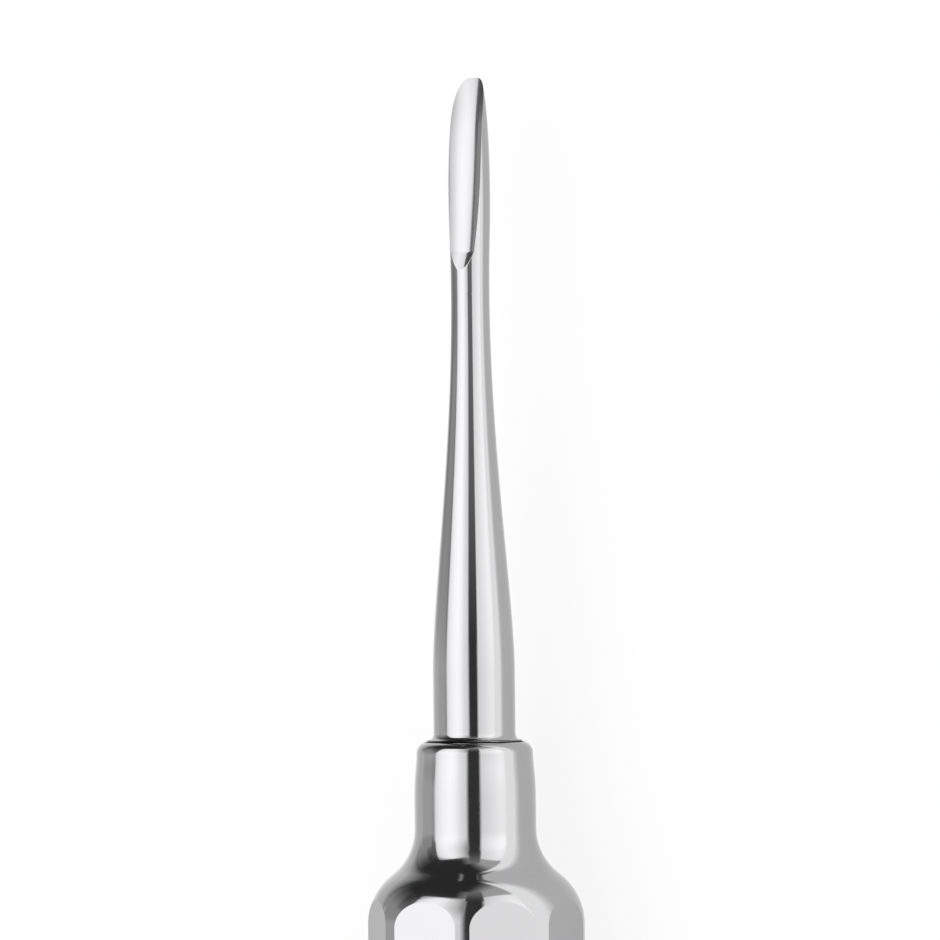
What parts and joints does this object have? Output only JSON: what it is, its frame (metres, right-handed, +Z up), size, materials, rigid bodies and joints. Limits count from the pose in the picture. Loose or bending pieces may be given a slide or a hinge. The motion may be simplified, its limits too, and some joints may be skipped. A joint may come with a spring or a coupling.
{
  "type": "root elevator",
  "caption": "Straight dental root elevator: hollow-ground gouge tip on a slim waisted shank, set in the collar of a hollow octagonal steel handle.",
  "frame": {"origin": "on the surface the instrument lies on, under the middle of its length", "axes": "+Y runs along the instrument towards the blade's tip, +Z is up and is the side that the blade's hollow faces, X crosses the handle"},
  "size_m": [0.018, 0.166, 0.018],
  "materials": {
    "working_end_steel": "mirror-polished martensitic stainless steel, with fine grinding lines along the blade's hollow",
    "handle_steel": "polished stainless steel, turned collar and bell, ground and buffed flats"
  },
  "bodies": {
    "root": {"working_end": "working_end_steel", "handle": "handle_steel", "end_cap": "handle_steel"}
  },
  "joints": []
}
